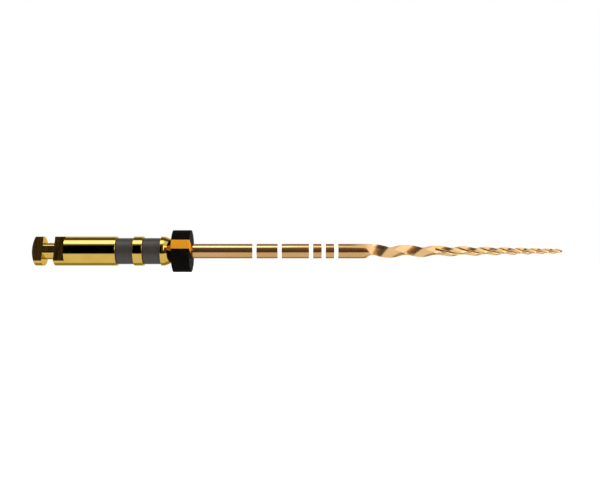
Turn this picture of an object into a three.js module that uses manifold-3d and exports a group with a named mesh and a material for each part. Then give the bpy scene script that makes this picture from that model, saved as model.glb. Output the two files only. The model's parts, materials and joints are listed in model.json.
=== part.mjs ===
// A rotary endodontic file with a latch handle, in millimetres.
//
// Frame: +X runs along the axis from the rear end of the shank to the tip, +Z is up, and the origin
// is on the axis at the apex of the shank's domed rear end. The drive flat and the stop's mark face
// -Y and a little upwards.
//
// A brass handle holds a nickel-titanium file in a blind bore, bonded with adhesive. Two coloured
// rings on the handle tell the size. A silicone stop slides on the round part of the file, and white
// marks on it tell the depth from the tip.
import * as THREE from "three";
import { mergeVertices } from "three/addons/utils/BufferGeometryUtils.js";
import Module from "manifold-3d";

// ---- driving dimensions ----

// Places along the axis
const GROOVE_REAR = 0.88; // retaining groove of the latch shank
const GROOVE_FRONT = 1.8;
const FLAT_END = 2.68; // where the drive flat stops at a step
const REAR_RING = [6.74, 8.1]; // the two colour rings
const FRONT_RING = [8.86, 10.26];
const NOSE_CONE_START = 10.54; // where the cone's side would meet the shank's
const NOSE_FACE = 11.16;
const STOP_REAR = 11.21;
const STOP_FRONT = 12.65;
const FLUTE_START = 26.4;
const TIP = 42.3;
const MARK_DEPTHS = [18.1, 19.1, 20.1, 22.6, 24.6]; // centre of each depth mark, back from the tip

// Handle
const SHANK_RADIUS = 1.175; // nominal 2.35 mm latch shank
const DOME_HEIGHT = 0.25;
const NECK_RADIUS = 0.665;
const DRIVE_FLAT_OFFSET = 0.605; // from the axis to the flat
const DRIVE_FLAT_TURN = 19; // degrees that the flat is turned up from -Y
const NOSE_CONE_ANGLE = 22.5; // degrees that the cone's side slopes
const NOSE_FILLET_RADIUS = 0.5; // between the shank and the cone
const EDGE_BREAK = 0.03;
const RING_SEAT_RADIUS = 0.94;
const RING_RADIUS = 1.046; // outside of a colour ring, a little below the gold
const RING_SIDE_GAP = 0.01;
const RING_EDGE_BREAK = 0.015;
const BORE_DEPTH = 6.6;
const BORE_RADIUS = 0.65;

// File
const SHAFT_RADIUS = 0.587;
const BOND_RADII = [0.602, 0.634];
const BOND_EDGE_BREAK = 0.008;
const BOND_END_GAP = 0.05; // of the film to the bore's ends
const TANG_END_GAP = 0.15; // of the tang to the bottom of the bore
const TANG_CHAMFER = 0.1;
const TAPER_STEPS = [
  // diameter of the cutting envelope at a distance back from the tip
  { back: 0, diameter: 0.37 },
  { back: 3, diameter: 0.55 },
  { back: 10, diameter: 0.885 },
  { back: 15.9, diameter: 1.157 },
];
const TWIST_START_RATE = 43.9; // degrees of helix per millimetre where the flutes start
const TWIST_GAIN = 455; // further degrees of helix at the tip
const TWIST_POWER = 3.5; // how late along the flutes those further degrees come
const TWIST_PHASE = -63; // of the first cutting edge where the flutes start, from +Y towards +Z
const RUN_OUT = 0.6; // length over which the faces sink in from the round shaft
const FACE_OFFSET_REAR = 0.57; // middle of a face from the axis, as a share of the envelope
const FACE_OFFSET_TIP = 0.69;
const FACE_OFFSET_LENGTH = 6.8; // over which the share changes, from where the flutes start
const RELIEF_START_BACK = 10.5; // a relief groove along the middle of each face begins here
const RELIEF_FULL_BACK = 10.15; // and is full depth from here to the tip
const RELIEF_FLOOR = 0.5; // groove floor from the axis, as a share of the envelope
const RELIEF_CUTTER = 0.3; // radius of the groove's round section, as a share of the envelope
const CUTTING_EDGES = 3;
const PILOT_LENGTH = 0.2;
const PILOT_RADIUS = 0.09;

// Depth marks
const MARK_WIDTH = 0.34;
const MARK_DEPTH = 0.045;
const MARK_GAP = 0.008; // of a mark to its groove, all round
const MARK_EDGE_BREAK = 0.005;

// Stop
const STOP_RADIUS = 1.676;
const STOP_BORE_RADIUS = 0.607;
const STOP_EDGE_BREAK = 0.02;
const INSERT_WIDTH = 0.745;
const INSERT_TURN = 19.8; // degrees that the insert is turned up from -Y
const INSERT_GAP = 0.008;

// Facets
const ROUND_SEGMENTS = 48;
const BLADE_SEGMENTS = 24; // a multiple of three, so that an edge of the mesh follows each cutting edge
const ROWS_PER_TURN = 26; // rows of facets for each turn of the helix
const RUN_OUT_ROWS = 5;
const DOME_STEPS = 5;
const FILLET_STEPS = 4;
const PILOT_STEPS = 3;
const MERGE_DISTANCE = 1e-4;
const OVERSHOOT = 1; // of a cutting box past the ends of what it cuts

const radians = THREE.MathUtils.degToRad;

// ---- helpers ----

// A solid turned about the axis from [x, radius] points. The points start and end on the axis, or
// close on themselves, and run clockwise with x to the right and the radius up.
function turned(points, segments = ROUND_SEGMENTS) {
  const profile = points.map(([x, radius]) => new THREE.Vector2(radius, x));
  const geometry = new THREE.LatheGeometry(profile, segments);
  geometry.rotateZ(-Math.PI / 2);
  return geometry;
}

// A square-edged ring between two places along the axis.
function sleeve([rear, front], inner, outer, edge, segments) {
  const points = [
    [rear, inner],
    [rear, outer - edge],
    [rear + edge, outer],
    [front - edge, outer],
    [front, outer - edge],
    [front, inner],
    [rear, inner],
  ];
  return turned(points, segments);
}

// Points of an arc about (x, radius), from one angle to another, in degrees from +X.
function arc(centre, size, from, to, count) {
  const points = [];
  for (let i = 0; i <= count; i += 1) {
    const angle = radians(THREE.MathUtils.lerp(from, to, i / count));
    points.push([centre[0] + size * Math.cos(angle), centre[1] + size * Math.sin(angle)]);
  }
  return points;
}

const wasm = await Module();
wasm.setup();

function toSolid(geometry) {
  const bare = geometry.clone();
  bare.deleteAttribute("normal");
  bare.deleteAttribute("uv");
  const merged = mergeVertices(bare, MERGE_DISTANCE);
  const mesh = new wasm.Mesh({
    numProp: 3,
    vertProperties: merged.attributes.position.array,
    triVerts: new Uint32Array(merged.index.array),
  });
  return new wasm.Manifold(mesh);
}

function toGeometry(solid) {
  const mesh = solid.getMesh();
  const geometry = new THREE.BufferGeometry();
  geometry.setAttribute("position", new THREE.BufferAttribute(mesh.vertProperties, 3));
  geometry.setIndex(new THREE.BufferAttribute(mesh.triVerts, 1));
  geometry.computeVertexNormals();
  return geometry;
}

const subtract = (geometry, tool) => toGeometry(toSolid(geometry).subtract(toSolid(tool)));
const intersect = (geometry, tool) => toGeometry(toSolid(geometry).intersect(toSolid(tool)));

// A box that stands off the axis towards -Y, turned up about the axis.
function sideBox([rear, front], width, [near, far], turnedUp) {
  const box = new THREE.BoxGeometry(front - rear, far - near, width);
  box.translate((rear + front) / 2, -(near + far) / 2, 0);
  box.rotateX(-radians(turnedUp));
  return box;
}

// ---- handle ----

function handle() {
  const domeRadius = (SHANK_RADIUS ** 2 + DOME_HEIGHT ** 2) / (2 * DOME_HEIGHT);
  const domeAngle = THREE.MathUtils.radToDeg(Math.asin(SHANK_RADIUS / domeRadius));
  const dome = arc([domeRadius, 0], domeRadius, 180, 180 - domeAngle, DOME_STEPS);

  const profile = [[0, 0], ...dome.slice(1)];
  profile.push([GROOVE_REAR - EDGE_BREAK, SHANK_RADIUS], [GROOVE_REAR, SHANK_RADIUS - EDGE_BREAK]);
  profile.push([GROOVE_REAR, NECK_RADIUS], [GROOVE_FRONT, NECK_RADIUS]);
  profile.push([GROOVE_FRONT, SHANK_RADIUS - EDGE_BREAK], [GROOVE_FRONT + EDGE_BREAK, SHANK_RADIUS]);
  for (const [rear, front] of [REAR_RING, FRONT_RING]) {
    profile.push([rear - EDGE_BREAK, SHANK_RADIUS], [rear, SHANK_RADIUS - EDGE_BREAK]);
    profile.push([rear, RING_SEAT_RADIUS], [front, RING_SEAT_RADIUS]);
    profile.push([front, SHANK_RADIUS - EDGE_BREAK], [front + EDGE_BREAK, SHANK_RADIUS]);
  }
  // a fillet leads from the shank to the nose's cone
  const filletStart = NOSE_CONE_START - NOSE_FILLET_RADIUS * Math.tan(radians(NOSE_CONE_ANGLE) / 2);
  const filletCentre = [filletStart, SHANK_RADIUS - NOSE_FILLET_RADIUS];
  profile.push(...arc(filletCentre, NOSE_FILLET_RADIUS, 90, 90 - NOSE_CONE_ANGLE, FILLET_STEPS));
  const coneDrop = (NOSE_FACE - NOSE_CONE_START) * Math.tan(radians(NOSE_CONE_ANGLE));
  profile.push([NOSE_FACE, SHANK_RADIUS - coneDrop]);
  profile.push([NOSE_FACE, BORE_RADIUS]);
  profile.push([NOSE_FACE - BORE_DEPTH, BORE_RADIUS], [NOSE_FACE - BORE_DEPTH, 0]);

  const reach = 2 * SHANK_RADIUS;
  const flatCut = sideBox([-OVERSHOOT, FLAT_END], 2 * reach, [DRIVE_FLAT_OFFSET, reach], DRIVE_FLAT_TURN);
  return subtract(turned(profile), flatCut);
}

const colourRing = ([rear, front]) =>
  sleeve(
    [rear + RING_SIDE_GAP, front - RING_SIDE_GAP],
    RING_SEAT_RADIUS + RING_SIDE_GAP,
    RING_RADIUS,
    RING_EDGE_BREAK,
  );

// ---- file ----

const markSpan = (depth) => [TIP - depth - MARK_WIDTH / 2, TIP - depth + MARK_WIDTH / 2];

// Radius of the cutting envelope at a distance back from the tip.
function envelope(back) {
  const next = Math.max(1, TAPER_STEPS.findIndex((step) => step.back >= back));
  const a = TAPER_STEPS[next - 1];
  const b = TAPER_STEPS[next];
  return THREE.MathUtils.mapLinear(back, a.back, b.back, a.diameter, b.diameter) / 2;
}

// Degrees that the section has turned, and degrees per millimetre, at a distance along the flutes.
const fluteLength = TIP - FLUTE_START;

function twist(along) {
  return TWIST_START_RATE * along + TWIST_GAIN * (along / fluteLength) ** TWIST_POWER;
}

function twistRate(along) {
  const growth = (along / fluteLength) ** (TWIST_POWER - 1) / fluteLength;
  return TWIST_START_RATE + TWIST_GAIN * TWIST_POWER * growth;
}

// Radius of the ground section as a share of the envelope, at an angle from the middle of a face.
// A face is an arc. It comes in from outside the shaft as it is sunk, and passes through two cutting
// edges when it is sunk fully. A round-bottomed relief groove runs along its middle.
function section(fromMiddle, fullOffset, sunk, relief) {
  const { lerp } = THREE.MathUtils;
  const beyondAxis = (1 - fullOffset ** 2) / (2 * fullOffset - 1); // from the axis to the arc's centre
  const faceRadius = beyondAxis + lerp(1, fullOffset, sunk);
  const across = beyondAxis * Math.sin(fromMiddle);
  const face = Math.sqrt(faceRadius ** 2 - across ** 2) - beyondAxis * Math.cos(fromMiddle);
  const cutterAt = lerp(1, RELIEF_FLOOR, relief) + RELIEF_CUTTER;
  const reach = RELIEF_CUTTER ** 2 - (cutterAt * Math.sin(fromMiddle)) ** 2;
  const missed = relief <= 0 || reach <= 0;
  return missed ? face : Math.min(face, cutterAt * Math.cos(fromMiddle) - Math.sqrt(reach));
}

function blade() {
  const profile = [[NOSE_FACE - BORE_DEPTH + TANG_END_GAP, 0]];
  profile.push([profile[0][0], SHAFT_RADIUS - TANG_CHAMFER]);
  profile.push([profile[0][0] + TANG_CHAMFER, SHAFT_RADIUS]);
  for (const depth of [...MARK_DEPTHS].reverse()) {
    const [rear, front] = markSpan(depth);
    profile.push([rear, SHAFT_RADIUS], [rear, SHAFT_RADIUS - MARK_DEPTH]);
    profile.push([front, SHAFT_RADIUS - MARK_DEPTH], [front, SHAFT_RADIUS]);
  }
  const shaftPoints = profile.length;
  profile.push([FLUTE_START, SHAFT_RADIUS]);
  const rowTurn = 360 / ROWS_PER_TURN;
  let rowAt = RUN_OUT / RUN_OUT_ROWS;
  while (rowAt < fluteLength - PILOT_LENGTH) {
    profile.push([FLUTE_START + rowAt, envelope(fluteLength - rowAt)]);
    rowAt += rowAt < RUN_OUT ? RUN_OUT / RUN_OUT_ROWS : rowTurn / twistRate(rowAt);
  }
  const flutedPoints = profile.length;
  // the pilot is a small round point that guides without cutting
  profile.push([TIP - PILOT_LENGTH, PILOT_RADIUS]);
  const point = arc([TIP - PILOT_RADIUS, 0], PILOT_RADIUS, 90, 0, PILOT_STEPS);
  profile.push(...point.slice(0, -1), [TIP, 0]);

  const geometry = turned(profile, BLADE_SEGMENTS);
  const position = geometry.getAttribute("position");
  for (let i = 0; i < position.count; i += 1) {
    const row = i % profile.length;
    const [x, radius] = profile[row];
    const along = THREE.MathUtils.clamp(x - FLUTE_START, 0, fluteLength);
    const column = (2 * Math.PI * Math.floor(i / profile.length)) / BLADE_SEGMENTS;
    const angle = column + radians(TWIST_PHASE + twist(along));
    let share = 1;
    if (row >= shaftPoints && row < flutedPoints) {
      const sunk = THREE.MathUtils.smoothstep(along, 0, RUN_OUT);
      const ratio = Math.min(1, along / FACE_OFFSET_LENGTH);
      const fullOffset = THREE.MathUtils.lerp(FACE_OFFSET_REAR, FACE_OFFSET_TIP, ratio);
      const back = fluteLength - along;
      const relief = 1 - THREE.MathUtils.smoothstep(back, RELIEF_FULL_BACK, RELIEF_START_BACK);
      const fromEdge = column % ((2 * Math.PI) / CUTTING_EDGES);
      const fromMiddle = fromEdge - Math.PI / CUTTING_EDGES;
      share = Math.min(1, section(fromMiddle, fullOffset, sunk, relief));
    }
    position.setXYZ(i, x, share * radius * Math.cos(angle), share * radius * Math.sin(angle));
  }
  geometry.computeVertexNormals();
  return geometry;
}

function bond() {
  const span = [NOSE_FACE - BORE_DEPTH + TANG_END_GAP + TANG_CHAMFER, NOSE_FACE - BOND_END_GAP];
  return sleeve(span, ...BOND_RADII, BOND_EDGE_BREAK);
}

function depthMark(depth) {
  const [rear, front] = markSpan(depth);
  const inner = SHAFT_RADIUS - MARK_DEPTH + MARK_GAP;
  const span = [rear + MARK_GAP, front - MARK_GAP];
  return sleeve(span, inner, SHAFT_RADIUS, MARK_EDGE_BREAK, BLADE_SEGMENTS);
}

// ---- stop ----

const stopDisc = () =>
  sleeve([STOP_REAR, STOP_FRONT], STOP_BORE_RADIUS, STOP_RADIUS, STOP_EDGE_BREAK);

const insertBox = (width) =>
  sideBox([STOP_REAR - OVERSHOOT, STOP_FRONT + OVERSHOOT], width, [0, 2 * STOP_RADIUS], INSERT_TURN);

const stopBody = () => subtract(stopDisc(), insertBox(INSERT_WIDTH));

const stopMark = () => intersect(stopDisc(), insertBox(INSERT_WIDTH - 2 * INSERT_GAP));

// ---- assembly ----

const FINISHES = {
  gold: { color: 0xd4af5a, roughness: 0.12, metalness: 1 },
  niTi: { color: 0xd9a76a, roughness: 0.22, metalness: 1 },
  adhesive: { color: 0xc9c2a0, roughness: 0.5, metalness: 0 },
  ring: { color: 0x403d39, roughness: 0.45, metalness: 0 },
  silicone: { color: 0x141211, roughness: 0.5, metalness: 0 },
  insert: { color: 0xd98f1c, roughness: 0.5, metalness: 0 },
  mark: { color: 0xf2f2f0, roughness: 0.5, metalness: 0 },
};

function piece(name, geometry, finish) {
  const mesh = new THREE.Mesh(geometry, new THREE.MeshStandardMaterial(FINISHES[finish]));
  mesh.name = name;
  return mesh;
}

const instrument = new THREE.Group();
instrument.add(
  piece("latch_handle", handle(), "gold"),
  piece("shaft_bond", bond(), "adhesive"),
  piece("file_blade", blade(), "niTi"),
  piece("colour_ring_rear", colourRing(REAR_RING), "ring"),
  piece("colour_ring_front", colourRing(FRONT_RING), "ring"),
);
for (const depth of MARK_DEPTHS) {
  instrument.add(piece(`depth_mark_${Math.floor(depth)}`, depthMark(depth), "mark"));
}

const stop = new THREE.Group();
stop.add(piece("stop_body", stopBody(), "silicone"), piece("stop_mark", stopMark(), "insert"));

const endodonticFile = new THREE.Group();
endodonticFile.add(instrument, stop);

export default endodonticFile;
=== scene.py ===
"""The looks of a rotary endodontic file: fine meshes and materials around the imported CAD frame.

Shapes are worked out in millimetres on the frame's axes (+X to the tip, +Z up) and turned into
metres when each mesh is made. Places and outer sizes come from the frame. The laws that a box
can't show, such as the taper and the helix of the flutes, are the named values below.
"""
import json
import math

import bmesh
import bpy
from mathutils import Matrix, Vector


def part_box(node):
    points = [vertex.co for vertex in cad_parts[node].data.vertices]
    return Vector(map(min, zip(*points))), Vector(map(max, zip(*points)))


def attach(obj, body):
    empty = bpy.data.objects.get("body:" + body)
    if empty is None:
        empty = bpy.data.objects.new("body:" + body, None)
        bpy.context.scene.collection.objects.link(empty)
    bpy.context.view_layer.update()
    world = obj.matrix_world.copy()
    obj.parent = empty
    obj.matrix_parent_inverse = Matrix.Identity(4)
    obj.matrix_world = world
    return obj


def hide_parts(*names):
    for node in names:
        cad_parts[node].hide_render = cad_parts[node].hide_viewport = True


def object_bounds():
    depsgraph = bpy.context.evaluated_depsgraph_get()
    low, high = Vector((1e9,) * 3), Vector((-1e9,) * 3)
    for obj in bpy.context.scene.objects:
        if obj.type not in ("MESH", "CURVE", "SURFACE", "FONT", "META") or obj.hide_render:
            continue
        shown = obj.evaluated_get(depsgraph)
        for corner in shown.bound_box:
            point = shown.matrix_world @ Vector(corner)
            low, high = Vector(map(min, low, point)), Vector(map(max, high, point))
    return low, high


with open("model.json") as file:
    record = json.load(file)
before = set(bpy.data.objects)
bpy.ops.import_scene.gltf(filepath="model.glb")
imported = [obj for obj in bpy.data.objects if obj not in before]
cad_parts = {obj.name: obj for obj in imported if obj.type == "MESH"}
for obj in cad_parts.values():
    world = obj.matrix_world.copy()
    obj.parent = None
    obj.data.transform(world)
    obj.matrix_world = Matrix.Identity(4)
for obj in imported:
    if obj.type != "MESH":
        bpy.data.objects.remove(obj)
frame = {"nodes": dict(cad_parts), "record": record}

MM = 0.001  # metres in a millimetre
cad_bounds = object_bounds()

# ---- sizes, in millimetres ----

# Handle
SHANK_RADIUS = 1.175
DOME_HEIGHT = 0.25
GROOVE = (0.88, 1.8)  # retaining groove for the latch plate
NECK_RADIUS = 0.665
FLAT_END = 2.68  # where the drive flat stops at a step
RING_SEAT_RADIUS = 0.94
NOSE_CONE_START = 10.54  # where the cone's side would meet the shank's
NOSE_CONE_ANGLE = 22.5  # degrees that the cone's side slopes
NOSE_FILLET_RADIUS = 0.5  # between the shank and the cone
BORE_DEPTH = 6.6
BORE_RADIUS = 0.65
MOUTH_CHAMFER = 0.03
TURNED_EDGE = 0.03  # fillet of the edges at the latch end
GROOVE_CORNER = 0.02  # fillet at the bottom of the retaining groove
SHOULDER_EDGE = 0.035  # fillet of the shoulders beside the colour rings
RING_SIDE_GAP = 0.01  # of a colour ring to the shoulders
RING_EDGE = 0.02
NOSE_EDGE = 0.03

# File. The taper, the run-out, the faces and the helix are a rounded fit to the photo's outline.
SHAFT_RADIUS = 0.587
TANG_CHAMFER = 0.1
FLUTE_START = 26.4
TAPER_STEPS = ((0, 0.37), (3, 0.55), (10, 0.885), (15.9, 1.157))  # back from the tip, diameter
TWIST_START_RATE = 43.9  # degrees of helix per millimetre where the flutes start
TWIST_GAIN = 455  # further degrees of helix at the tip
TWIST_POWER = 3.5  # how late along the flutes those further degrees come
TWIST_PHASE = -63  # of the first cutting edge where the flutes start, from +Y towards +Z
RUN_OUT = 0.6  # length over which the faces sink in from the round shaft
FACE_OFFSETS = (0.57, 0.69)  # middle of a face from the axis, as a share of the envelope
FACE_OFFSET_LENGTH = 6.8  # over which the share changes, from where the flutes start
RELIEF_BACK = (10.15, 10.5)  # a relief groove along each face fades in here, back from the tip
RELIEF_FLOOR = 0.5  # groove floor from the axis, as a share of the envelope
RELIEF_CUTTER = 0.3  # radius of the groove's round section, as a share of the envelope
PILOT_LENGTH = 0.2
PILOT_RADIUS = 0.09

# Depth marks, bond and stop
MARK_DEPTH = 0.045
MARK_GAP = 0.008
MARK_EDGE = 0.004  # fillet of the mark's groove
MARK_CROWN = 0.003  # how much higher the fill is in its middle
BOND_RADII = (0.592, 0.646)
BOND_MENISCUS = 0.02  # how far the cured film dips between the shaft and the bore
STOP_BORE_RADIUS = 0.607
STOP_EDGE = 0.025
STOP_BORE_EDGE = 0.02
SLOT_WIDTH = 0.745
SLOT_TURN = 19.8  # degrees that the slot for the mark is turned up from -Y
INSERT_GAP = 0.008

# Fineness of the meshes
ROUND_COLUMNS = 96
BLADE_COLUMNS = 144  # a multiple of three, so that a column follows each cutting edge
BLADE_ROW_TURN = 3.5  # degrees of helix between two rows of the blade
RUN_OUT_ROWS = 20
FLAT_SIDE_STEPS = 12  # from the side of the drive flat to the side of the neck's flat
FLAT_NECK_STEPS = 7  # across the neck's flat
SHANK_STEPS = 64  # round the rest of the shank
DOME_STEPS = 14
FILLET_STEPS = 5
MARK_EDGE_STEPS = 2
MARK_CROWN_STEPS = 6
MENISCUS_STEPS = 8
PILOT_STEPS = 8
STOP_STEPS = 88
INSERT_STEPS = 16
SHARP_ANGLE = 38  # degrees between two faces from which an edge is drawn sharp
MERGE_DISTANCE = 1e-5
SHORTEST_EDGE = 1e-6


# ---- places from the frame ----


def span(node):
    """Where a node starts and ends along the axis, in millimetres."""
    low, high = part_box(node)
    return low.x / MM, high.x / MM


def outer_radius(node):
    low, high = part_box(node)
    return high.z / MM


def mount(name):
    return next(m for m in frame["record"]["mounts"] if m["name"] == name)


drive_flat = mount("drive_flat")
flat_normal = Vector(drive_flat["axis"]).normalized()
flat_lateral = Vector((0, flat_normal.z, -flat_normal.y))
flat_offset = Vector(drive_flat["pos_m"]).dot(flat_normal) / MM
tip = span("file_blade")[1]
nose_face = span("latch_handle")[1]
flute_length = tip - FLUTE_START


# ---- meshes ----


def lerp(a, b, ratio):
    return a + (b - a) * ratio


def smoothstep(value, low, high):
    ratio = min(1.0, max(0.0, (value - low) / (high - low)))
    return ratio * ratio * (3 - 2 * ratio)


def rounded(corners, steps=FILLET_STEPS):
    """Profile points from (x, radius, fillet) corners, each corner rounded by its fillet."""
    points = []
    for index, (x, radius, fillet) in enumerate(corners):
        here = Vector((x, radius))
        if not fillet:
            points.append(tuple(here))
            continue
        before = (Vector(corners[index - 1][:2]) - here).normalized()
        after = (Vector(corners[(index + 1) % len(corners)][:2]) - here).normalized()
        half = before.angle(after) / 2
        centre = here + (before + after).normalized() * (fillet / math.sin(half))
        start = (here + before * (fillet / math.tan(half)) - centre) / fillet
        end = (here + after * (fillet / math.tan(half)) - centre) / fillet
        for step in range(steps + 1):
            points.append(tuple(centre + start.slerp(end, step / steps) * fillet))
    return points


def loft(sections, ring=False, open_sections=False):
    """Points and faces through sections of equal length.

    A ring joins the last section to the first. Open sections get a face over each of their ends.
    """
    count = len(sections[0])
    points = [point for section in sections for point in section]
    faces = []
    for row in range(len(sections) - (0 if ring else 1)):
        above = (row + 1) % len(sections)
        for column in range(count - (1 if open_sections else 0)):
            beside = (column + 1) % count
            here, there = row * count, above * count
            faces.append((here + column, here + beside, there + beside, there + column))
    if open_sections:
        for column in (0, count - 1):
            faces.append(tuple(row * count + column for row in range(len(sections))))
    return points, faces


def around(x, radius):
    """A circle of points about the axis."""
    turns = [2 * math.pi * column / ROUND_COLUMNS for column in range(ROUND_COLUMNS)]
    return [(x, radius * math.cos(turn), radius * math.sin(turn)) for turn in turns]


def turned(profile):
    """A ring turned about the axis. Its profile closes on itself."""
    return loft([around(x, radius) for x, radius in profile], ring=True)


def piece(name, shape, body, node, material):
    """Makes one piece from (points, faces) in millimetres and puts it in the place of its node."""
    mesh = bpy.data.meshes.new(name)
    mesh.from_pydata(shape[0], [], shape[1])
    work = bmesh.new()
    work.from_mesh(mesh)
    bmesh.ops.remove_doubles(work, verts=work.verts, dist=MERGE_DISTANCE)
    bmesh.ops.dissolve_degenerate(work, edges=work.edges, dist=SHORTEST_EDGE)
    bmesh.ops.recalc_face_normals(work, faces=work.faces)
    work.to_mesh(mesh)
    work.free()
    for polygon in mesh.polygons:
        polygon.use_smooth = True
    mesh.set_sharp_from_angle(angle=math.radians(SHARP_ANGLE))
    rough = bpy.data.objects.new(name + "_rough", mesh)
    bpy.context.collection.objects.link(rough)
    shading = rough.modifiers.new("shading", "WEIGHTED_NORMAL")
    shading.keep_sharp = True
    graph = bpy.context.evaluated_depsgraph_get()
    final = bpy.data.meshes.new_from_object(rough.evaluated_get(graph))
    bpy.data.objects.remove(rough)
    final.name = name
    for vertex in final.vertices:
        vertex.co *= MM
    final.update()
    final.materials.clear()
    final.materials.append(material)
    made = bpy.data.objects.new(name, final)
    bpy.context.collection.objects.link(made)
    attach(made, body)
    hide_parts(node)


# ---- handle ----


def shank_section(x, radius, cut):
    """Points round the shank at x: across the side of the drive flat first, then round the rest.

    A cut section runs straight across the flat where the radius reaches it. A whole section has
    the same number of points on its circle, so that the two meet at the step.
    """
    corner = math.acos(flat_offset / SHANK_RADIUS)
    inner = math.asin(math.sqrt(NECK_RADIUS**2 - flat_offset**2) / SHANK_RADIUS)
    across = [lerp(-corner, -inner, step / FLAT_SIDE_STEPS) for step in range(FLAT_SIDE_STEPS)]
    across += [lerp(-inner, inner, step / FLAT_NECK_STEPS) for step in range(FLAT_NECK_STEPS)]
    across += [lerp(inner, corner, step / FLAT_SIDE_STEPS) for step in range(FLAT_SIDE_STEPS)]
    edge = math.acos(min(1, flat_offset / radius)) if cut and radius else corner
    half_width = radius * math.sin(edge)
    points = []
    for turn in across:
        if cut:
            side = SHANK_RADIUS * math.sin(turn)
            points.append((min(radius, flat_offset), min(half_width, max(-half_width, side))))
        else:
            points.append((radius * math.cos(turn), radius * math.sin(turn)))
    for step in range(SHANK_STEPS):
        turn = lerp(edge, 2 * math.pi - edge, step / SHANK_STEPS)
        points.append((radius * math.cos(turn), radius * math.sin(turn)))
    places = [flat_normal * out + flat_lateral * side for out, side in points]
    return [(x, place.y, place.z) for place in places]


def handle():
    dome_radius = (SHANK_RADIUS**2 + DOME_HEIGHT**2) / (2 * DOME_HEIGHT)
    dome_angle = math.asin(SHANK_RADIUS / dome_radius)
    dome = []
    for step in range(DOME_STEPS):
        turn = dome_angle * step / DOME_STEPS
        dome.append((dome_radius * (1 - math.cos(turn)), dome_radius * math.sin(turn)))
    rear = rounded(
        [
            (*dome[-1], 0),
            (DOME_HEIGHT, SHANK_RADIUS, TURNED_EDGE),
            (GROOVE[0], SHANK_RADIUS, TURNED_EDGE),
            (GROOVE[0], NECK_RADIUS, GROOVE_CORNER),
            (GROOVE[1], NECK_RADIUS, GROOVE_CORNER),
            (GROOVE[1], SHANK_RADIUS, TURNED_EDGE),
            (FLAT_END, SHANK_RADIUS, 0),
        ]
    )
    corners = [(FLAT_END, SHANK_RADIUS, 0)]
    for node in ("colour_ring_rear", "colour_ring_front"):
        low, high = span(node)
        low -= RING_SIDE_GAP
        high += RING_SIDE_GAP
        corners.append((low, SHANK_RADIUS, SHOULDER_EDGE))
        corners.append((low, RING_SEAT_RADIUS, 0))
        corners.append((high, RING_SEAT_RADIUS, 0))
        corners.append((high, SHANK_RADIUS, SHOULDER_EDGE))
    slope = math.tan(math.radians(NOSE_CONE_ANGLE))
    nose_radius = SHANK_RADIUS - slope * (nose_face - NOSE_CONE_START)
    corners.append((NOSE_CONE_START, SHANK_RADIUS, NOSE_FILLET_RADIUS))
    corners.append((nose_face, nose_radius, NOSE_EDGE))
    bore_end = nose_face - BORE_DEPTH
    corners.append((nose_face, BORE_RADIUS + MOUTH_CHAMFER, 0))
    corners.append((nose_face - MOUTH_CHAMFER, BORE_RADIUS, 0))
    corners.append((bore_end, BORE_RADIUS, 0))
    corners.append((bore_end, 0, 0))
    sections = [shank_section(x, radius, True) for x, radius in dome[:-1] + rear]
    sections += [shank_section(x, radius, False) for x, radius in rounded(corners)]
    return loft(sections)


def colour_ring(node):
    low, high = span(node)
    inner = RING_SEAT_RADIUS + RING_SIDE_GAP
    outer = outer_radius(node)
    corners = [(low, inner, 0), (low, outer, RING_EDGE), (high, outer, RING_EDGE), (high, inner, 0)]
    return turned(rounded(corners))


# ---- file ----


def envelope(back):
    """Radius of the cutting envelope at a distance back from the tip."""
    for (near, small), (far, large) in zip(TAPER_STEPS, TAPER_STEPS[1:]):
        if back <= far or far == TAPER_STEPS[-1][0]:
            return lerp(small, large, (back - near) / (far - near)) / 2


def twist(along):
    """Degrees that the section has turned at a distance along the flutes."""
    return TWIST_START_RATE * along + TWIST_GAIN * (along / flute_length) ** TWIST_POWER


def twist_rate(along):
    growth = (along / flute_length) ** (TWIST_POWER - 1) / flute_length
    return TWIST_START_RATE + TWIST_GAIN * TWIST_POWER * growth


def ground_section(from_middle, full_offset, sunk, relief):
    """Radius of the section as a share of the envelope, at an angle from the middle of a face.

    A face is an arc that comes in from outside the shaft as it is sunk, and passes through two
    cutting edges when it is sunk fully. A round-bottomed relief groove runs along its middle.
    """
    beyond_axis = (1 - full_offset**2) / (2 * full_offset - 1)
    face_radius = beyond_axis + lerp(1, full_offset, sunk)
    across = beyond_axis * math.sin(from_middle)
    face = math.sqrt(face_radius**2 - across**2) - beyond_axis * math.cos(from_middle)
    cutter_at = lerp(1, RELIEF_FLOOR, relief) + RELIEF_CUTTER
    reach = RELIEF_CUTTER**2 - (cutter_at * math.sin(from_middle)) ** 2
    if relief <= 0 or reach <= 0:
        return face
    return min(face, cutter_at * math.cos(from_middle) - math.sqrt(reach))


def blade_section(x, radius, fluted):
    along = min(flute_length, max(0, x - FLUTE_START))
    sunk = smoothstep(along, 0, RUN_OUT)
    full_offset = lerp(*FACE_OFFSETS, min(1, along / FACE_OFFSET_LENGTH))
    relief = 1 - smoothstep(flute_length - along, *RELIEF_BACK)
    points = []
    for column in range(BLADE_COLUMNS):
        turn = 2 * math.pi * column / BLADE_COLUMNS
        share = 1
        if fluted and sunk > 0:
            from_middle = turn % (2 * math.pi / 3) - math.pi / 3
            share = min(1, ground_section(from_middle, full_offset, sunk, relief))
        angle = turn + math.radians(TWIST_PHASE + twist(along))
        points.append((x, share * radius * math.cos(angle), share * radius * math.sin(angle)))
    return points


def mark_nodes():
    return sorted(node for node in frame["nodes"] if node.startswith("depth_mark"))


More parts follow.
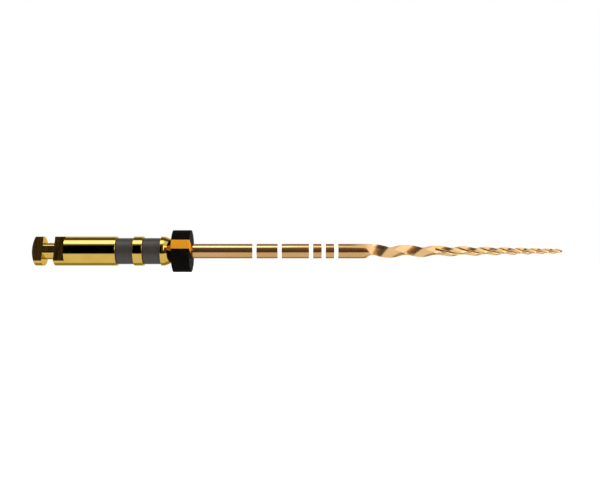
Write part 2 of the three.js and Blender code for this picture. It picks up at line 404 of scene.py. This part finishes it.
def blade():
    tang_end = span("file_blade")[0]
    floor_radius = SHAFT_RADIUS - MARK_DEPTH
    corners = [(tang_end, 0, 0), (tang_end, SHAFT_RADIUS - TANG_CHAMFER, 0)]
    corners.append((tang_end + TANG_CHAMFER, SHAFT_RADIUS, 0))
    for low, high in sorted(span(node) for node in mark_nodes()):
        corners.append((low - MARK_GAP, SHAFT_RADIUS, MARK_EDGE))
        corners.append((low - MARK_GAP, floor_radius, 0))
        corners.append((high + MARK_GAP, floor_radius, 0))
        corners.append((high + MARK_GAP, SHAFT_RADIUS, MARK_EDGE))
    corners.append((FLUTE_START, SHAFT_RADIUS, 0))
    shaft = rounded(corners, MARK_EDGE_STEPS)
    sections = [blade_section(x, radius, False) for x, radius in shaft]
    along = RUN_OUT / RUN_OUT_ROWS
    while along < flute_length - PILOT_LENGTH:
        sections.append(blade_section(FLUTE_START + along, envelope(flute_length - along), True))
        along += RUN_OUT / RUN_OUT_ROWS if along < RUN_OUT else BLADE_ROW_TURN / twist_rate(along)
    sections.append(blade_section(tip - PILOT_LENGTH, PILOT_RADIUS, False))
    for step in range(PILOT_STEPS + 1):
        turn = math.pi / 2 * step / PILOT_STEPS
        x = tip - PILOT_RADIUS * (1 - math.sin(turn))
        sections.append(blade_section(x, PILOT_RADIUS * math.cos(turn), False))
    return loft(sections)


def depth_mark(node):
    low, high = span(node)
    inner = SHAFT_RADIUS - MARK_DEPTH + MARK_GAP
    edge = outer_radius(node) - MARK_CROWN
    profile = [(low, inner)]
    for step in range(MARK_CROWN_STEPS + 1):
        ratio = step / MARK_CROWN_STEPS
        profile.append((lerp(low, high, ratio), edge + MARK_CROWN * math.sin(math.pi * ratio)))
    profile.append((high, inner))
    return turned(profile)


def bond():
    low, high = span("shaft_bond")
    inner, outer = BOND_RADII
    profile = [(low, inner), (low, outer)]
    for step in range(MENISCUS_STEPS + 1):
        ratio = step / MENISCUS_STEPS
        dip = BOND_MENISCUS * math.sin(math.pi * ratio)
        profile.append((high - dip, lerp(outer, inner, ratio)))
    return turned(profile)


# ---- stop ----


def stop_arc(x, radius, half_width, insert):
    """Points of the stop at one radius: across the insert, or round the body from side to side."""
    edge = math.asin(half_width / radius)
    low, high, steps = -edge, edge, INSERT_STEPS
    if not insert:
        low, high, steps = edge, 2 * math.pi - edge, STOP_STEPS
    points = []
    for step in range(steps + 1):
        turn = lerp(low, high, step / steps) - math.radians(SLOT_TURN)
        points.append((x, -radius * math.cos(turn), -radius * math.sin(turn)))
    return points


def stop_part(insert):
    low, high = span("stop_body")
    outer = outer_radius("stop_body")
    corners = [
        (low, STOP_BORE_RADIUS, STOP_BORE_EDGE),
        (low, outer, STOP_EDGE),
        (high, outer, STOP_EDGE),
        (high, STOP_BORE_RADIUS, STOP_BORE_EDGE),
    ]
    half_width = SLOT_WIDTH / 2 - (INSERT_GAP if insert else 0)
    sections = [stop_arc(x, radius, half_width, insert) for x, radius in rounded(corners)]
    return loft(sections, ring=True, open_sections=True)


# ---- materials ----


class Graph:
    """A node tree. Each of its nodes is added and joined in one call."""

    def __init__(self, tree):
        self.tree = tree

    def add(self, kind, *inputs, **settings):
        node = self.tree.nodes.new("ShaderNode" + kind)
        for key, value in settings.items():
            setattr(node, key, value)
        for socket, value in zip(node.inputs, inputs):
            self.join(value, socket)
        return node

    def join(self, value, socket):
        if isinstance(value, bpy.types.NodeSocket):
            self.tree.links.new(value, socket)
        else:
            socket.default_value = value

    def maths(self, operation, *values):
        return self.add("Math", *values, operation=operation).outputs[0]

    def ramp(self, value, low, high, to_low=0.0, to_high=1.0):
        """The value stretched from one range to another, and kept inside it."""
        return self.add("MapRange", value, low, high, to_low, to_high).outputs[0]

    def mix(self, ratio, first, second):
        """A colour between two colours."""
        node = self.add("Mix", data_type="RGBA")
        self.join(ratio, node.inputs[0])
        self.join(first, node.inputs[6])
        self.join(second, node.inputs[7])
        return node.outputs[2]

    def blend(self, ratio, first, second):
        """A number between two numbers."""
        node = self.add("Mix", data_type="FLOAT")
        self.join(ratio, node.inputs[0])
        self.join(first, node.inputs[2])
        self.join(second, node.inputs[3])
        return node.outputs[0]

    def levels(self, place, steps, low, high):
        """A light level that follows (place, level) steps."""
        peak = max(level for _, level in steps)
        ramp = self.add("ValToRGB", self.ramp(place, low, high))
        elements = ramp.color_ramp.elements
        for where, _ in steps[1:-1]:
            elements.new((where - low) / (high - low))
        for element, (_, level) in zip(elements, steps):
            element.color = (level / peak, level / peak, level / peak, 1)
        return self.maths("MULTIPLY", ramp.outputs[0], peak)

    def degrees_round(self, away, up):
        """Degrees round the axis, from the camera's side upwards."""
        turn = self.maths("ARCTAN2", up, self.maths("MULTIPLY", away, -1.0))
        return self.maths("DEGREES", turn)


class Material(Graph):
    """The graph of one material, on its own shader."""

    def __init__(self, name, roughness, metallic=0.0, specular=0.5):
        self.material = bpy.data.materials.new(name)
        self.material.use_nodes = True
        super().__init__(self.material.node_tree)
        self.shader = self.tree.nodes["Principled BSDF"]
        self.give("Roughness", roughness)
        self.give("Metallic", metallic)
        self.give("Specular IOR Level", specular)
        self.place = self.add("TexCoord").outputs["Object"]

    def give(self, name, value):
        self.join(value, self.shader.inputs[name])

    def noise(self, per_mm, detail):
        """Noise from 0 to 1 with so many features per millimetre along each axis."""
        scale = [count / MM for count in per_mm]
        scaled = self.add("VectorMath", self.place, scale, operation="MULTIPLY")
        node = self.add("TexNoise")
        self.join(scaled.outputs[0], node.inputs["Vector"])
        self.join(1.0, node.inputs["Scale"])
        self.join(detail, node.inputs["Detail"])
        return node.outputs[0]

    def bump(self, height, depth_mm):
        node = self.add("Bump")
        self.join(1.0, node.inputs["Strength"])
        self.join(depth_mm * MM, node.inputs["Distance"])
        self.join(height, node.inputs["Height"])
        self.give("Normal", node.outputs[0])


def gold_brass():
    """Gold-plated turned brass: fine turning lines, faint handling smudges, a milled flat."""
    g = Material("gold_brass", roughness=0.08, metallic=1.0)
    g.give("Specular Tint", (0.95, 0.8, 0.45, 1))
    smudges = g.noise((0.9, 0.9, 0.9), detail=4)
    lines = g.noise((55, 0.6, 0.6), detail=3)
    scratches = g.ramp(g.noise((1.5, 42, 42), detail=1), 0.66, 0.74)
    turned_tint = g.mix(g.ramp(smudges, 0.35, 0.7), (0.65, 0.445, 0.098, 1), (0.6, 0.395, 0.08, 1))

    away = g.add("VectorMath", g.place, tuple(flat_normal), operation="DOT_PRODUCT").outputs[1]
    near_flat = g.maths("COMPARE", away, flat_offset * MM, 0.003 * MM)
    x = g.add("SeparateXYZ", g.place).outputs[0]
    milled = g.maths("MULTIPLY", near_flat, g.maths("LESS_THAN", x, (FLAT_END + 0.01) * MM))
    cutter = g.noise((18, 0.5, 0.5), detail=2)

    g.give("Base Color", g.mix(milled, turned_tint, (0.6, 0.38, 0.085, 1)))
    worn = g.ramp(smudges, 0.3, 0.75, 0.045, 0.11)
    worn = g.maths("ADD", worn, g.maths("MULTIPLY", scratches, 0.05))
    mill_rough = g.ramp(cutter, 0.3, 0.7, 0.14, 0.22)
    g.give("Roughness", g.blend(milled, worn, mill_rough))
    line_height = g.maths("MULTIPLY", lines, 0.12)
    g.bump(g.blend(milled, line_height, g.maths("MULTIPLY", cutter, 0.35)), 0.0016)
    return g.material


def nickel_titanium():
    """Heat-tinted nickel-titanium: centreless-ground shaft, flutes with grinding lines, painted
    highlight and shade in the relief grooves, and painted shade on the pilot.
    """
    g = Material("nickel_titanium", roughness=0.16, metallic=0.95)
    g.give("Specular Tint", (0.95, 0.8, 0.6, 1))
    x = g.add("SeparateXYZ", g.place).outputs[0]
    fluted = g.ramp(x, FLUTE_START * MM, (FLUTE_START + RUN_OUT) * MM)
    tint = g.noise((0.35, 1.2, 1.2), detail=3)
    shaft = g.mix(g.ramp(tint, 0.3, 0.7), (0.62, 0.375, 0.165, 1), (0.56, 0.325, 0.135, 1))
    flute = g.mix(g.ramp(tint, 0.3, 0.7), (0.82, 0.545, 0.262, 1), (0.76, 0.475, 0.21, 1))
    ground = g.mix(fluted, shaft, flute)

    # the relief grooves get a painted highlight on their walls and painted shade on their floor
    (_, tip_size), (near, near_size), (far, far_size) = TAPER_STEPS[:3]
    envelope_radius = g.maths(
        "SUBTRACT",
        g.ramp(x, (tip - far) * MM, (tip - near) * MM, far_size / 2 * MM, near_size / 2 * MM),
        g.ramp(x, (tip - near) * MM, tip * MM, 0, (near_size - tip_size) / 2 * MM),
    )
    across = g.add("VectorMath", g.place, (0, 1, 1), operation="MULTIPLY").outputs[0]
    radius = g.add("VectorMath", across, operation="LENGTH").outputs[1]
    share = g.maths("DIVIDE", radius, envelope_radius)
    grooved = g.ramp(x, *((tip - back) * MM for back in reversed(RELIEF_BACK)))
    painted_highlight_wall = g.maths("MULTIPLY", grooved, g.ramp(share, 0.655, 0.69, 1, 0))
    painted_shade_floor = g.maths("MULTIPLY", grooved, g.ramp(share, 0.51, 0.57, 1, 0))
    bright = g.mix(painted_highlight_wall, ground, (0.97, 0.74, 0.42, 1))
    painted_groove_light = g.mix(painted_shade_floor, bright, (0.12, 0.05, 0.015, 1))
    # painted shade: the pilot at the tip is coloured darker than the flutes
    painted_shade_pilot = g.maths("GREATER_THAN", x, (tip - PILOT_LENGTH) * MM)
    g.give("Base Color", g.mix(painted_shade_pilot, painted_groove_light, (0.4, 0.19, 0.065, 1)))

    grinding = g.noise((30, 2.2, 2.2), detail=3)
    shaft_lines = g.noise((38, 0.8, 0.8), detail=2)
    shaft_rough = g.ramp(shaft_lines, 0.3, 0.7, 0.12, 0.18)
    g.give("Roughness", g.blend(fluted, shaft_rough, g.ramp(grinding, 0.3, 0.7, 0.17, 0.25)))
    g.bump(g.blend(fluted, g.maths("MULTIPLY", shaft_lines, 0.2), grinding), 0.0012)
    return g.material


def adhesive():
    """Cured adhesive, amber and slightly cloudy."""
    g = Material("adhesive", roughness=0.25)
    cloud = g.noise((6, 6, 6), detail=3)
    tone = g.ramp(cloud, 0.3, 0.7)
    g.give("Base Color", g.mix(tone, (0.55, 0.48, 0.3, 1), (0.42, 0.34, 0.18, 1)))
    g.give("Roughness", g.ramp(cloud, 0.3, 0.7, 0.15, 0.35))
    g.bump(cloud, 0.004)
    return g.material


def size_ring():
    """Dark grey enamel, rolled on: faint lines round the ring and a slightly uneven skin."""
    g = Material("size_ring", roughness=0.42, specular=0.4)
    lines = g.noise((9, 0.3, 0.3), detail=3)
    skin = g.noise((11, 11, 11), detail=3)
    tone = g.ramp(g.blend(0.4, lines, skin), 0.35, 0.65)
    g.give("Base Color", g.mix(tone, (0.05, 0.045, 0.039, 1), (0.066, 0.06, 0.053, 1)))
    g.give("Roughness", g.ramp(skin, 0.3, 0.7, 0.36, 0.5))
    g.bump(skin, 0.003)
    return g.material


def silicone(name, first, second, specular):
    """Moulded silicone: a fine eroded-mould skin, with colour that varies a little."""
    g = Material(name, roughness=0.5, specular=specular)
    skin = g.noise((16, 16, 16), detail=4)
    cloud = g.noise((1.6, 1.6, 1.6), detail=2)
    g.give("Base Color", g.mix(g.ramp(cloud, 0.3, 0.7), first, second))
    g.give("Roughness", g.ramp(skin, 0.3, 0.7, 0.42, 0.6))
    g.bump(skin, 0.004)
    return g.material


def depth_fill():
    """White fill in the ground grooves, with a painted glow that keeps it bright white."""
    g = Material("depth_mark", roughness=0.5, specular=0.3)
    grain = g.noise((14, 14, 14), detail=3)
    tone = g.ramp(grain, 0.3, 0.7)
    white = g.mix(tone, (0.93, 0.93, 0.92, 1), (0.86, 0.86, 0.84, 1))
    g.give("Base Color", white)
    # painted light: the fill glows a little, though it is no lamp, so that it reads bright white
    g.give("Emission Color", white)
    g.give("Emission Strength", 0.5)
    g.give("Roughness", g.ramp(grain, 0.3, 0.7, 0.42, 0.6))
    g.bump(grain, 0.002)
    return g.material


# ---- studio ----


# Light round the axis: degrees from the camera's side, up to +180 and down to -180, and its level.
# A softbox hangs above, the ground is white, and a dark card stands behind the camera. The levels
# follow the reflections that were measured on the handle in the photo, simplified.
ROUND_LIGHT = (
    (-180, 0.97), (-150, 0.95), (-140, 0.6), (-133, 0.33), (-114, 0.33), (-104, 0.85), (-96, 1.0),
    (-24, 1.0), (-17, 0.0), (44, 0.0), (50, 0.15), (57, 0.6), (63, 1.8), (69, 4.0), (83, 4.1),
    (88, 2.2), (94.5, 0.7), (100, 0.1), (123, 0.1), (130, 0.5), (138, 0.7), (150, 0.95), (180, 0.97),
)
CARD_SPAN = (-17, 50)  # degrees round the axis that the card covers
STRIP_START = (96, 102)  # degrees round the axis where the dark strip behind the softbox fades in
# The rest follows how far a direction leans towards the tip's end: the sine of its angle from square.
SOFTBOX_SHARE = (
    (-1, 0.0), (-0.33, 0.0), (-0.29, 1.0), (-0.05, 1.0), (-0.01, 0.7), (0.036, 0.26), (0.08, 0.08),
    (0.13, 0.1), (0.18, 0.4), (0.32, 0.4), (0.42, 0.0), (1, 0.0),
)
# The card is black behind the handle and reflects a little further along, more so higher up.
CARD_LEVEL = (
    (-1, 0.12), (-0.4, 0.12), (-0.32, 0.0), (-0.17, 0.0), (-0.125, 0.06), (0.06, 0.12), (0.1, 0.02),
    (0.55, 0.02), (0.78, 0.5), (1, 0.5),
)
CARD_SHADE = (0.7, 2.1)
CARD_COLOUR = (1, 0.7, 0.48, 1)
# A glow spreads over the card from above. How low it reaches, in degrees, follows the lean.
GLOW_EDGE = (
    (-1, 50), (0.25, 50), (0.31, -4), (0.4, -2), (0.5, 20), (0.58, 36), (0.62, 24), (0.7, 5), (1, 5),
)
GLOW_FADE = 10
GLOW_LEVEL = 2.2
# Towards both ends the dark strip behind the softbox is grey.
STRIP_LEVEL = ((-1, 0.6), (-0.45, 0.6), (-0.33, 0.0), (0.6, 0.0), (0.72, 0.9), (1, 0.9))
# Cards near the file bend round its axis. Each has its places along the axis and its radius, in
# millimetres, and its degrees round the axis. A diffuser hangs above the shaft and the flutes.
# Its level over the shaft is that of the studio behind it, with a share of the softbox.
DIFFUSER = ((20.3, 60), 10, (50, 130))
DIFFUSER_SHARE = ((20, 0.65), (22, 0.4), (24.4, 0.26), (26, 0.1), (26.7, 0.05), (27, 0.0), (60, 0.0))
DIFFUSER_LEVEL = 1.3  # over the flutes
DIFFUSER_JOIN = (26, 27)  # where the one level turns into the other
# A light card stands low in front of the tip.
FRONT_CARD = ((36.3, 60), 10, (-19, 11))
FRONT_LEVEL = 0.85
# A dark card with a warm tone stands in front of the first flutes.
DARK_CARD = ((27.3, 36), 10, CARD_SPAN)
DARK_COLOUR = (1, 0.6, 0.32, 1)
DARK_LEVEL = ((-180, 0.05), (-17, 0.05), (5, 0.09), (20, 0.17), (35, 0.4), (50, 0.9), (180, 0.9))
CARD_STEPS = 24

FLOOR_DROP = 0.03  # metres below the axis
FLOOR_REACH = 1.5  # metres to each side
CAMERA_PLACE = (0.504 * cad_bounds[1].x, -0.06667, 0.00009)


def overhead_light(g, degrees, share):
    """The light round the axis as a plain part, and the softbox's part cut down to a share."""
    round_light = g.levels(degrees, ROUND_LIGHT, -180, 180)
    softbox = g.maths("MAXIMUM", g.maths("SUBTRACT", round_light, 1.0), 0.0)
    return g.maths("MINIMUM", round_light, 1.0), g.maths("MULTIPLY", softbox, share)


def studio():
    """A world that lights the piece like a photo studio, and is plain white to the camera."""
    world = bpy.data.worlds.new("studio")
    world.use_nodes = True
    world.node_tree.nodes.clear()
    g = Graph(world.node_tree)
    lean, away, up = g.add("SeparateXYZ", g.add("TexCoord").outputs["Generated"]).outputs
    degrees = g.degrees_round(away, up)
    plain, softbox = overhead_light(g, degrees, g.levels(lean, SOFTBOX_SHARE, -1, 1))
    strip = g.maths("MULTIPLY", g.levels(lean, STRIP_LEVEL, -1, 1), g.ramp(degrees, *STRIP_START))
    plain = g.maths("MAXIMUM", plain, strip)

    shade = g.ramp(degrees, *CARD_SPAN, *CARD_SHADE)
    card = g.maths("MULTIPLY", g.levels(lean, CARD_LEVEL, -1, 1), shade)
    edge = g.levels(lean, GLOW_EDGE, -1, 1)
    glow = g.ramp(degrees, edge, g.maths("ADD", edge, GLOW_FADE), 0.0, GLOW_LEVEL)
    inside = g.maths("GREATER_THAN", degrees, CARD_SPAN[0])
    inside = g.maths("MULTIPLY", inside, g.maths("LESS_THAN", degrees, CARD_SPAN[1]))
    level = g.maths("ADD", g.maths("ADD", plain, softbox), g.maths("MULTIPLY", inside, glow))
    bright = g.add("Background", (1, 1, 1, 1), level)
    dark = g.add("Background", CARD_COLOUR, g.maths("MULTIPLY", inside, card))
    light = g.add("AddShader", bright.outputs[0], dark.outputs[0])
    white = g.add("Background", (1, 1, 1, 1), 1.0)
    camera_ray = g.add("LightPath").outputs["Is Camera Ray"]
    mixed = g.add("MixShader", camera_ray, light.outputs[0], white.outputs[0])
    g.add("OutputWorld", mixed.outputs[0])
    bpy.context.scene.world = world


def stage_piece(name, points, faces, material):
    """A mesh for the light or the background, that neither lights nor shades the piece directly."""
    mesh = bpy.data.meshes.new(name)
    mesh.from_pydata(points, [], faces)
    mesh.materials.append(material)
    made = bpy.data.objects.new(name, mesh)
    bpy.context.collection.objects.link(made)
    made.visible_diffuse = False
    made.visible_shadow = False
    return made


def bent_card(name, material, reach, radius, turns):
    """A card that bends round the axis. Only mirror-like surfaces show it."""
    turned_by = [math.radians(lerp(*turns, step / CARD_STEPS)) for step in range(CARD_STEPS + 1)]
    points = []
    for x in reach:
        points += [(x, -radius * math.cos(turn), radius * math.sin(turn)) for turn in turned_by]
    points = [tuple(MM * value for value in point) for point in points]
    across = CARD_STEPS + 1
    faces = [(i, i + 1, i + 1 + across, i + across) for i in range(CARD_STEPS)]
    made = stage_piece(name, points, faces, material)
    made.visible_camera = False


def card_material(name, colour=(1, 1, 1, 1)):
    """A glowing material, and the place along the axis and the degrees round it on a card."""
    g = Material(name, roughness=1.0, specular=0.0)
    g.give("Base Color", (0, 0, 0, 1))
    g.give("Emission Color", colour)
    along, away, up = g.add("SeparateXYZ", g.place).outputs
    return g, g.maths("DIVIDE", along, MM), g.degrees_round(away, up)


def near_cards():
    """The cards that bend round the file's axis."""
    g, along, degrees = card_material("diffuser")
    plain, softbox = overhead_light(g, degrees, g.levels(along, DIFFUSER_SHARE, 20, 60))
    over_shaft = g.maths("ADD", plain, softbox)
    g.give("Emission Strength", g.blend(g.ramp(along, *DIFFUSER_JOIN), over_shaft, DIFFUSER_LEVEL))
    bent_card("diffuser", g.material, *DIFFUSER)

    g, _, _ = card_material("front_card")
    g.give("Emission Strength", FRONT_LEVEL)
    bent_card("front_card", g.material, *FRONT_CARD)

    g, _, degrees = card_material("dark_card", DARK_COLOUR)
    g.give("Emission Strength", g.levels(degrees, DARK_LEVEL, -180, 180))
    bent_card("dark_card", g.material, *DARK_CARD)


def floor():
    """A plain white floor well below the piece."""
    near, far, level = -FLOOR_REACH, FLOOR_REACH, -FLOOR_DROP
    corners = [(near, near, level), (far, near, level), (far, far, level), (near, far, level)]
    g = Material("floor", roughness=0.9, specular=0.0)
    g.give("Base Color", (0.9, 0.9, 0.9, 1))
    g.give("Emission Color", (1, 1, 1, 1))
    g.give("Emission Strength", 0.4)
    made = stage_piece("floor", corners, [(0, 1, 2, 3)], g.material)
    made.visible_glossy = False


def camera():
    data = bpy.data.cameras.new("camera")
    data.lens = 50
    data.sensor_width = 36
    data.clip_start = 0.001
    data.clip_end = 10
    made = bpy.data.objects.new("camera", data)
    bpy.context.collection.objects.link(made)
    made.location = CAMERA_PLACE
    made.rotation_euler = (math.radians(90), 0, 0)
    bpy.context.scene.camera = made


# ---- the piece ----

camera()
studio()
near_cards()
floor()
bpy.context.scene.view_settings.view_transform = "Standard"

gold = gold_brass()
niti = nickel_titanium()
enamel = size_ring()
white_fill = depth_fill()
black = silicone("silicone", (0.0048, 0.0045, 0.004, 1), (0.0072, 0.0067, 0.006, 1), 0.005)
orange = silicone("silicone_mark", (0.97, 0.4, 0.016, 1), (0.93, 0.37, 0.014, 1), 0.1)

piece("handle_turned", handle(), "instrument", "latch_handle", gold)
piece("bond_film", bond(), "instrument", "shaft_bond", adhesive())
piece("file_ground", blade(), "instrument", "file_blade", niti)
piece("size_ring_rear", colour_ring("colour_ring_rear"), "instrument", "colour_ring_rear", enamel)
piece("size_ring_front", colour_ring("colour_ring_front"), "instrument", "colour_ring_front", enamel)
for node in mark_nodes():
    piece(node.replace("mark", "band"), depth_mark(node), "instrument", node, white_fill)
piece("stop_disc", stop_part(insert=False), "stop", "stop_body", black)
piece("stop_insert", stop_part(insert=True), "stop", "stop_mark", orange)
